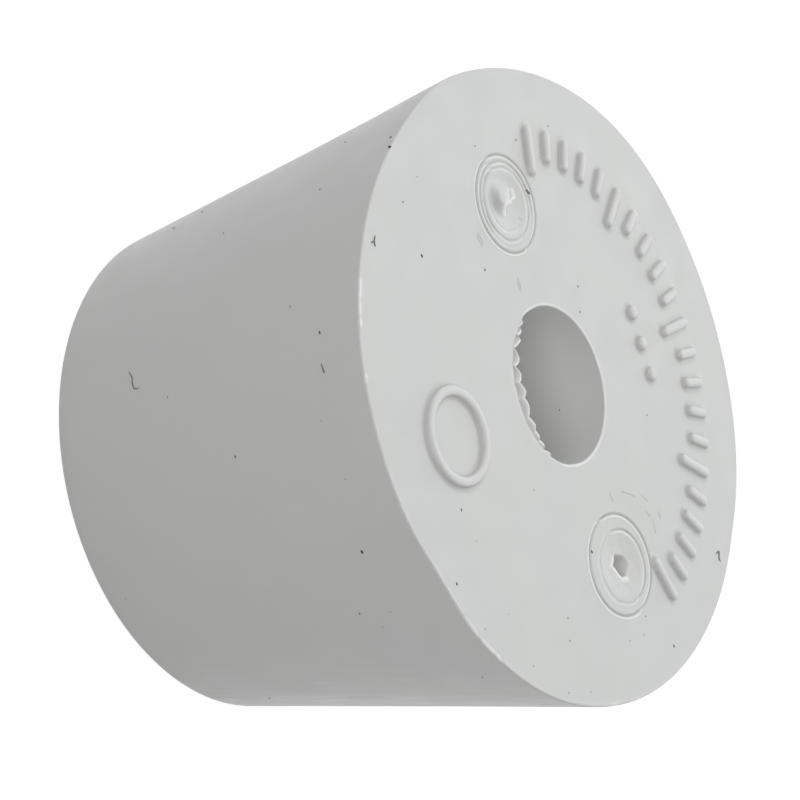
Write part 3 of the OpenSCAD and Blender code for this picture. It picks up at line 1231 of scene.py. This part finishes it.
def labelled_sizes(scene):
    """Every size of the stopper by its label, under which the rules ask for it."""
    groups = (scene.stopper_body, scene.stopper_gates, scene.stopper_relief, scene.stopper_flash)
    return {
        prop.name: float(getattr(group, prop.identifier))
        for group in groups
        for prop in group.bl_rna.properties
        if prop.is_runtime
    }


# ---------------------------------------------------------------- materials


def tone_group(name):
    """Colour that drifts between two tones over the surface."""
    tree = Tree.new_group(name, "ShaderNodeTree", {"Tone": PLAIN, "Other tone": PLAIN, "Patch size": 5 * MM})
    size = tree.size
    drift = tree.texture(tree.coordinates("Object"), 1.0 / size["Patch size"], 3.0)
    toned = tree.mix(tree.ease(drift, 0.38, 0.62), size["Tone"], size["Other tone"])
    return tree.finish("Color", Color=toned)


def grain_group(name):
    """Fine grain of a moulded surface, as a height and as a mask."""
    tree = Tree.new_group(name, "ShaderNodeTree", {"Grain size": 0.2 * MM})
    place = tree.coordinates("Object")
    fine = tree.texture(place, 1.0 / tree.size["Grain size"])
    broad = tree.texture(place, 0.12 / tree.size["Grain size"], 3.0)
    return tree.finish("Float", Height=fine * 0.35 + broad, Mask=broad)


def streak_group(name):
    """Faint streaks drawn up the side wall, as a height and a paleness, both strongest on one side."""
    tree = Tree.new_group(name, "ShaderNodeTree", {"Width": 0.6 * MM, "Length": 12 * MM})
    size = tree.size
    x, y, z = tree.split(tree.coordinates("Object"))
    drawn = tree.join(x / size["Width"], y / size["Width"], z / size["Length"])
    facing_up = tree.split(tree.coordinates("Normal"))[2]
    on_side = tree.ease(tree.hypot(x, y), 12 * MM, 14 * MM) * tree.ease(facing_up, 0.5, 0.2)
    streaks = on_side * tree.texture(drawn, 1.0)
    turned = tree.turned(tree.calc("ARCTAN2", y, x), STREAKS_AT)
    broad = tree.bell(turned, STREAKS_SPREAD) * 0.9 + 0.1
    return tree.finish("Float", Height=streaks * broad, Pale=streaks * tree.bell(turned, PALE_SPREAD))


def use_group(tree, name, make, **values):
    """Places a shared node group, made once, with its inputs set, and returns its outputs by label."""
    made = tree.node("ShaderNodeGroup")
    made.node_tree = bpy.data.node_groups.get(name) or make(name)
    for label, value in values.items():
        tree.feed(made.inputs[label.replace("_", " ")], value)
    return {socket.name: Field(tree, socket) for socket in made.outputs}


def new_material(name, roughness, specular):
    """A material with its own Principled shader, and a Tree to add nodes with."""
    material = bpy.data.materials.new(name)
    material.use_nodes = True
    shader = material.node_tree.nodes["Principled BSDF"]
    shader.inputs["Roughness"].default_value = roughness
    shader.inputs["Specular IOR Level"].default_value = specular
    return material, Tree(material.node_tree), shader


def two_tones(tree, tone, other, patch):
    """A colour that drifts between two tones in patches of that size."""
    inputs = {"Tone": tuple(tone), "Other_tone": tuple(other), "Patch_size": patch}
    return use_group(tree, "Rubber tone", tone_group, **inputs)["Color"]


def add_grain(tree, shader, grain_size, depth, roughness, streaks=0.0):
    """Gives a shader the moulded grain: bump, and roughness that varies."""
    grain = use_group(tree, "Moulded grain", grain_group, Grain_size=grain_size)
    bump = {"Height": grain["Height"] + streaks, "Distance": depth, "Strength": 1.0}
    tree.feed(shader.inputs["Normal"], tree.put("ShaderNodeBump", bump))
    tree.feed(shader.inputs["Roughness"], tree.ease(grain["Mask"], 0.2, 0.8, *roughness))


def rubber_material(finish):
    """White moulded rubber, paler where it was torn and where highlights and light in the bore are painted,
    darker where shade is painted.
    """
    material, tree, shader = new_material("moulded_rubber", roughness=0.5, specular=0.5)
    drawn = use_group(tree, "Drawn streaks", streak_group, Width=0.7 * MM, Length=14 * MM)
    # Torn rubber, painted highlights and painted light in the bore, all in one pale share
    torn = tree.most(tree.painted("torn"), drawn["Pale"] * 0.3)
    shade = two_tones(tree, finish.rubber, finish.warm, patch=6 * MM)
    shade = tree.mix(torn, shade, tuple(finish.torn))
    # Mixes in the painted shade that the mesh carries
    shade = tree.mix(tree.painted("creased"), shade, tuple(finish.creased))
    tree.feed(shader.inputs["Base Color"], shade)
    grain = {"grain_size": 0.22 * MM, "depth": 0.012 * MM, "roughness": (0.36, 0.48)}
    add_grain(tree, shader, streaks=drawn["Height"] * 9.0, **grain)
    return material


def dirt_material(name, dark, fleck, sunk=None):
    """Dark dirt, mottled towards a second tone. The small grains are sunk, and show paler."""
    material, tree, shader = new_material(name, roughness=0.7, specular=0.3)
    shade = two_tones(tree, dark, fleck, patch=0.06 * MM)
    if sunk:
        paler = tree.ease(tree.painted("across"), 0.1 * MM, 0.17 * MM, 1.0, 0.0)
        shade = tree.mix(paler, shade, tuple(sunk))
    tree.feed(shader.inputs["Base Color"], shade)
    add_grain(tree, shader, grain_size=0.05 * MM, depth=0.005 * MM, roughness=(0.6, 0.8))
    return material


def seen_rays(tree):
    """1 for rays that show the surface, straight or in a reflection, and 0 for light that spreads."""
    path = tree.node("ShaderNodeLightPath")
    names = ("Is Camera Ray", "Is Glossy Ray", "Is Transmission Ray")
    camera, glossy, through = (Field(tree, path.outputs[name]) for name in names)
    return tree.most(camera, tree.most(glossy, through))


# ---------------------------------------------------------------- grains and fibres on the surface


def on_wall(body, angle, z):
    """A place on the side wall, from an angle in degrees and a height in millimetres."""
    top_r, bottom_r = body.top_d / 2, body.bottom_d / 2
    radius = bottom_r + (top_r - bottom_r) * z * MM / body.height
    return (*polar(radius, math.radians(angle)), z * MM)


def on_face(body, x, y):
    """A place on the flat of the large end, in millimetres."""
    return (x * MM, y * MM, body.height)


def in_bore(body, angle, z):
    """A place on the wall of the bore, from an angle in degrees and a height in millimetres."""
    return (*polar(body.bore_d / 2, math.radians(angle)), z * MM)


def snapped(tree, surface, place):
    """The nearest place on a surface, and the surface's normal there."""
    near = {"Geometry": surface, "Source Position": place}
    position = tree.put("GeometryNodeProximity", near, "Position", target_element="FACES")
    normal = tree.put("GeometryNodeInputNormal", {})
    inputs = {"Mesh": surface, "Value": normal, "Sample Position": place}
    sampled = tree.put("GeometryNodeSampleNearestSurface", inputs, "Value", data_type="FLOAT_VECTOR")
    return position, sampled


def grain_tree(values):
    """Sets an uneven grain, half sunk, at each point, and loose ones on the -Y side and the small end."""
    tree = Tree.new_group("Grains on a surface", "GeometryNodeTree", values)
    size = tree.size
    body = tree.put("GeometryNodeObjectInfo", {"Object": size["Body"]}, "Geometry")
    facing_y, facing_z = tree.split(tree.put("GeometryNodeInputNormal", {}))[1:]
    hidden = tree.calc("LESS_THAN", tree.least(facing_y + 0.3, facing_z + 0.9), 0.0)
    inputs = {"Mesh": body, "Selection": hidden, "Density": size["Loose grains"], "Seed": size["Seed"]}
    loose = tree.put("GeometryNodeDistributePointsOnFaces", inputs, "Points")
    loose = tree.store(loose, "across", tree.random(0.4, 1.2, size["Seed"]) * size["Loose size"])
    placed = tree.put("GeometryNodeMeshToPoints", {"Mesh": size["Geometry"]})
    together = tree.node("GeometryNodeJoinGeometry")
    for points in (loose, placed):
        tree.tree.links.new(points.socket, together.inputs[0])
    position, normal = snapped(tree, body, tree.position())
    inputs = {"Geometry": Field(tree, together.outputs[0]), "Position": position}
    points = tree.put("GeometryNodeSetPosition", inputs)
    facing = tree.put("FunctionNodeAlignRotationToVector", {"Vector": normal}, axis="Z")
    grain = tree.put("GeometryNodeMeshIcoSphere", {"Radius": 0.5, "Subdivisions": 3})
    uneven = tree.put("ShaderNodeTexNoise", {"Scale": 2.5, "Detail": 2.0}, "Color")
    pushed = tree.put("ShaderNodeVectorMath", {0: uneven, 1: (-0.5, -0.5, -0.5)}, operation="ADD")
    grain = tree.put("GeometryNodeSetPosition", {"Geometry": grain, "Offset": tree.scale(pushed, 0.55)})
    across = tree.stored("across")
    scale = tree.join(across * tree.random(0.75, 1.35, 3), across, across * 0.45)
    inputs = {"Points": points, "Instance": grain, "Rotation": facing, "Scale": scale}
    return tree.finish_mesh(tree.put("GeometryNodeInstanceOnPoints", inputs), size["Dirt"])


def fibre_tree(values):
    """Lays a thin tapered fibre along each line of points, on the nearest surface of the body."""
    tree = Tree.new_group("Fibres on a surface", "GeometryNodeTree", values)
    size = tree.size
    body = tree.put("GeometryNodeObjectInfo", {"Object": size["Body"]}, "Geometry")
    lines = tree.put("GeometryNodeMeshToCurve", {"Mesh": size["Geometry"]})
    lines = tree.put("GeometryNodeCurveSplineType", {"Curve": lines}, spline_type="CATMULL_ROM")
    lines = tree.put("GeometryNodeResampleCurve", {"Curve": lines, "Count": size["Rings"]})
    place = tree.position()
    position, normal = snapped(tree, body, place)
    lift = tree.scale(normal, size["Thickness"] * 0.3)
    lines = tree.put("GeometryNodeSetPosition", {"Geometry": lines, "Position": position, "Offset": lift})
    along = tree.put("GeometryNodeSplineParameter", {}, "Factor")
    taper = tree.ease(tree.size_of(along - 0.5), 0.5, 0.3, 0.3, 1.0)
    lump = tree.noise(place, 0.25 * MM) * 0.9 + 1.0
    circle = {"Resolution": 8, "Radius": size["Thickness"] / 2.0}
    profile = tree.put("GeometryNodeCurvePrimitiveCircle", circle)
    sweep = {"Curve": lines, "Profile Curve": profile, "Scale": taper * lump, "Fill Caps": True}
    return tree.finish_mesh(tree.put("GeometryNodeCurveToMesh", sweep), size["Dirt"])


# ---------------------------------------------------------------- operators


class STOPPER_OT_body(bpy.types.Operator):
    """Mould the stopper in one piece, with its gate marks, relief and flash"""

    bl_idname = "stopper.body"
    bl_label = "Moulded stopper"

    def execute(self, context):
        scene = context.scene
        piece = new_object("stopper_body", plain_form(scene))
        values = {"Rubber": rubber_material(scene.stopper_finish), **labelled_sizes(scene)}
        run_tree(piece, moulded_detail, values)
        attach(piece, "root")
        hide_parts("stopper")
        return {"FINISHED"}


class STOPPER_OT_grains(bpy.types.Operator):
    """Set the dark grains of grit in the rubber"""

    bl_idname = "stopper.grains"
    bl_label = "Grains of grit"

    def execute(self, context):
        scene = context.scene
        body, finish = scene.stopper_body, scene.stopper_finish
        grains = [(on_wall(body, angle, z), across) for angle, z, across in WALL_GRAINS]
        grains += [(on_face(body, x, y), across) for x, y, across in FACE_GRAINS]
        grains += [(in_bore(body, angle, z), across) for angle, z, across in BORE_GRAINS]
        mesh = bpy.data.meshes.new("grit")
        mesh.from_pydata([place for place, _ in grains], [], [])
        sizes = [across * MM for _, across in grains]
        mesh.attributes.new("across", "FLOAT", "POINT").data.foreach_set("value", sizes)
        piece = new_object("embedded_grit", mesh)
        values = {
            "Body": bpy.data.objects["stopper_body"],
            "Dirt": dirt_material("dark_grit", finish.grain, finish.fleck, finish.sunk),
            "Loose grains": LOOSE_GRAINS,
            "Loose size": LOOSE_SIZE,
            "Seed": 7,
        }
        run_tree(piece, grain_tree, values)
        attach(piece, "root")
        return {"FINISHED"}


class STOPPER_OT_fibres(bpy.types.Operator):
    """Lay the stray fibres on the rubber"""

    bl_idname = "stopper.fibres"
    bl_label = "Stray fibres"

    def execute(self, context):
        scene = context.scene
        body, finish = scene.stopper_body, scene.stopper_finish
        lines = [[on_wall(body, angle, z) for angle, z in line] for line in WALL_FIBRES]
        lines += [[on_face(body, x, y) for x, y in line] for line in FACE_FIBRES]
        points, edges = [], []
        for line in lines:
            edges += [(len(points) + i, len(points) + i + 1) for i in range(len(line) - 1)]
            points += line
        mesh = bpy.data.meshes.new("fibres")
        mesh.from_pydata(points, edges, [])
        piece = new_object("stray_fibres", mesh)
        values = {
            "Body": bpy.data.objects["stopper_body"],
            "Dirt": dirt_material("grey_fibre", finish.fibre, finish.fleck),
            "Thickness": FIBRE_THICKNESS,
            "Rings": 40,
        }
        run_tree(piece, fibre_tree, values)
        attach(piece, "root")
        return {"FINISHED"}


class STOPPER_OT_stage(bpy.types.Operator):
    """Set the floor, the lights and the camera"""

    bl_idname = "stopper.stage"
    bl_label = "Floor, lights and camera"

    def execute(self, context):
        scene = context.scene
        set_floor(scene)
        set_world(scene)
        for lamp in LAMPS:
            set_lamp(scene, *lamp)
        set_camera(scene)
        scene.view_settings.view_transform = "Standard"
        return {"FINISHED"}


# ---------------------------------------------------------------- stage

FLOOR_HALF = 3.0
FLOOR_GLOW = 0.9
FLOOR_SHOWN = 0.2
# Distances at which the floor's own glow starts to rise, past the lamps' reach, and is full white
FLOOR_NEAR = 0.12
FLOOR_FAR = 0.3
WORLD_LIGHT = 0.01

COOL = (0.965, 1, 1)
WARM = (1, 0.985, 0.965)
WHITE = (1, 1, 1)

# Soft lamps: name, direction round from +X, height above the horizon, distance, width, power, tint
LAMPS = (
    ("key_softbox", -62, 30, 0.5, 0.6, 1.2, COOL),
    ("second_key_softbox", -118, 30, 0.5, 0.6, 1.12, COOL),
    ("right_softbox", 0, 30, 0.5, 0.6, 0.6, WHITE),
    ("left_softbox", 180, 30, 0.5, 0.6, 0.28, WHITE),
    ("front_softbox", 83, 35, 0.5, 0.3, 0.78, WARM),
    ("top_softbox", 90, 60, 0.5, 0.6, 0.6, WARM),
)

CAMERA_PLACE = (23.932, 188.659, 147.995)
CAMERA_AZIMUTH = 173.167
CAMERA_ELEVATION = 35.141
CAMERA_ROLL = -76.096
CAMERA_LENS = 178.897


def clear_tree(owner):
    """The node tree of a material or a world, with nothing in it yet."""
    owner.use_nodes = True
    owner.node_tree.nodes.clear()
    return Tree(owner.node_tree)


def end_tree(tree, kind, spread, shown):
    """Ends a tree in one shader for the light that spreads, and another for what is seen."""
    mixed = tree.put("ShaderNodeMixShader", {0: seen_rays(tree), 1: spread, 2: shown})
    tree.feed(tree.node(kind).inputs["Surface"], mixed)


def set_floor(scene):
    """A wide pale floor, which shows as white and keeps the stopper's soft shadow."""
    h = FLOOR_HALF
    mesh = bpy.data.meshes.new("floor")
    mesh.from_pydata([(-h, -h, 0), (h, -h, 0), (h, h, 0), (-h, h, 0)], [], [(0, 1, 2, 3)])
    floor = new_object("floor", mesh)
    material = bpy.data.materials.new("pale_floor")
    tree = clear_tree(material)
    spread = tree.put("ShaderNodeBsdfDiffuse", {"Color": tuple(scene.stopper_finish.floor)})
    shown = tree.put("ShaderNodeBsdfDiffuse", {"Color": (FLOOR_SHOWN,) * 3 + (1,)})
    x, y, _ = tree.split(tree.coordinates("Object"))
    strength = tree.ease(tree.hypot(x, y), FLOOR_NEAR, FLOOR_FAR, FLOOR_GLOW, 1.0)
    glow = tree.put("ShaderNodeEmission", {"Strength": strength})
    white = tree.put("ShaderNodeAddShader", {0: shown, 1: glow})
    end_tree(tree, "ShaderNodeOutputMaterial", spread, white)
    mesh.materials.append(material)


def set_world(scene):
    """Faint even light from all round, which shows as white."""
    world = bpy.data.worlds.new("studio")
    scene.world = world
    tree = clear_tree(world)
    light = tree.put("ShaderNodeBackground", {"Color": PLAIN, "Strength": WORLD_LIGHT})
    white = tree.put("ShaderNodeBackground", {"Color": PLAIN, "Strength": 1.0})
    end_tree(tree, "ShaderNodeOutputWorld", light, white)


def set_lamp(scene, name, azimuth, elevation, distance, width, power, tint):
    """A square soft lamp that points at the middle of the stopper."""
    lamp = bpy.data.lights.new(name, "AREA")
    lamp.size = width
    lamp.energy = power
    lamp.color = tint
    out, up = polar(1, math.radians(elevation))
    direction = Vector((*polar(out, math.radians(azimuth)), up))
    obj = new_object(name, lamp)
    obj.location = Vector((0, 0, scene.stopper_body.height / 2)) + direction * distance
    obj.rotation_mode = "QUATERNION"
    obj.rotation_quaternion = direction.to_track_quat("Z", "Y")


def set_camera(scene):
    """The camera, from its direction and its roll about its own axis."""
    data = bpy.data.cameras.new("camera")
    data.lens = CAMERA_LENS
    data.sensor_width = 36
    data.clip_start = 0.01
    camera = new_object("camera", data)
    turned, raised, roll = map(math.radians, (CAMERA_AZIMUTH, CAMERA_ELEVATION, CAMERA_ROLL))
    level = Vector((math.cos(turned), math.sin(turned), 0))
    toward = Vector((math.sin(turned), -math.cos(turned), 0))
    back = toward * math.cos(raised) + Vector((0, 0, math.sin(raised)))
    upright = back.cross(level)
    right = math.cos(roll) * level - math.sin(roll) * upright
    up = math.sin(roll) * level + math.cos(roll) * upright
    turn_to = Matrix((right, up, back)).transposed().to_4x4()
    camera.matrix_world = Matrix.Translation(Vector(CAMERA_PLACE) * MM) @ turn_to
    scene.camera = camera


# ---------------------------------------------------------------- panel, registration and run

GROUPS = {
    "stopper_body": BodySizes,
    "stopper_gates": GateSizes,
    "stopper_relief": ReliefSizes,
    "stopper_flash": FlashSizes,
    "stopper_finish": Finish,
}
OPERATORS = (STOPPER_OT_body, STOPPER_OT_grains, STOPPER_OT_fibres, STOPPER_OT_stage)


class STOPPER_PT_panel(bpy.types.Panel):
    """Sizes, colours and the steps that make the stopper"""

    bl_label = "Rubber stopper"
    bl_space_type = "VIEW_3D"
    bl_region_type = "UI"
    bl_category = "Stopper"

    def draw(self, context):
        for name, group in GROUPS.items():
            box = self.layout.box()
            box.label(text=group.__doc__)
            for value in group.__annotations__:
                box.prop(getattr(context.scene, name), value)
        for operator in OPERATORS:
            self.layout.operator(operator.bl_idname)


def register():
    """Adds the groups of sizes, the operators and the panel."""
    for item in (*GROUPS.values(), *OPERATORS, STOPPER_PT_panel):
        bpy.utils.register_class(item)
    for name, group in GROUPS.items():
        setattr(bpy.types.Scene, name, bpy.props.PointerProperty(type=group))


def unregister():
    """Takes them all away again."""
    for name in GROUPS:
        delattr(bpy.types.Scene, name)
    for item in (STOPPER_PT_panel, *OPERATORS, *GROUPS.values()):
        bpy.utils.unregister_class(item)


def main():
    """Makes everything, one operator after another."""
    register()
    bpy.ops.stopper.body()
    bpy.ops.stopper.grains()
    bpy.ops.stopper.fibres()
    bpy.ops.stopper.stage()


if __name__ == "__main__":
    main()
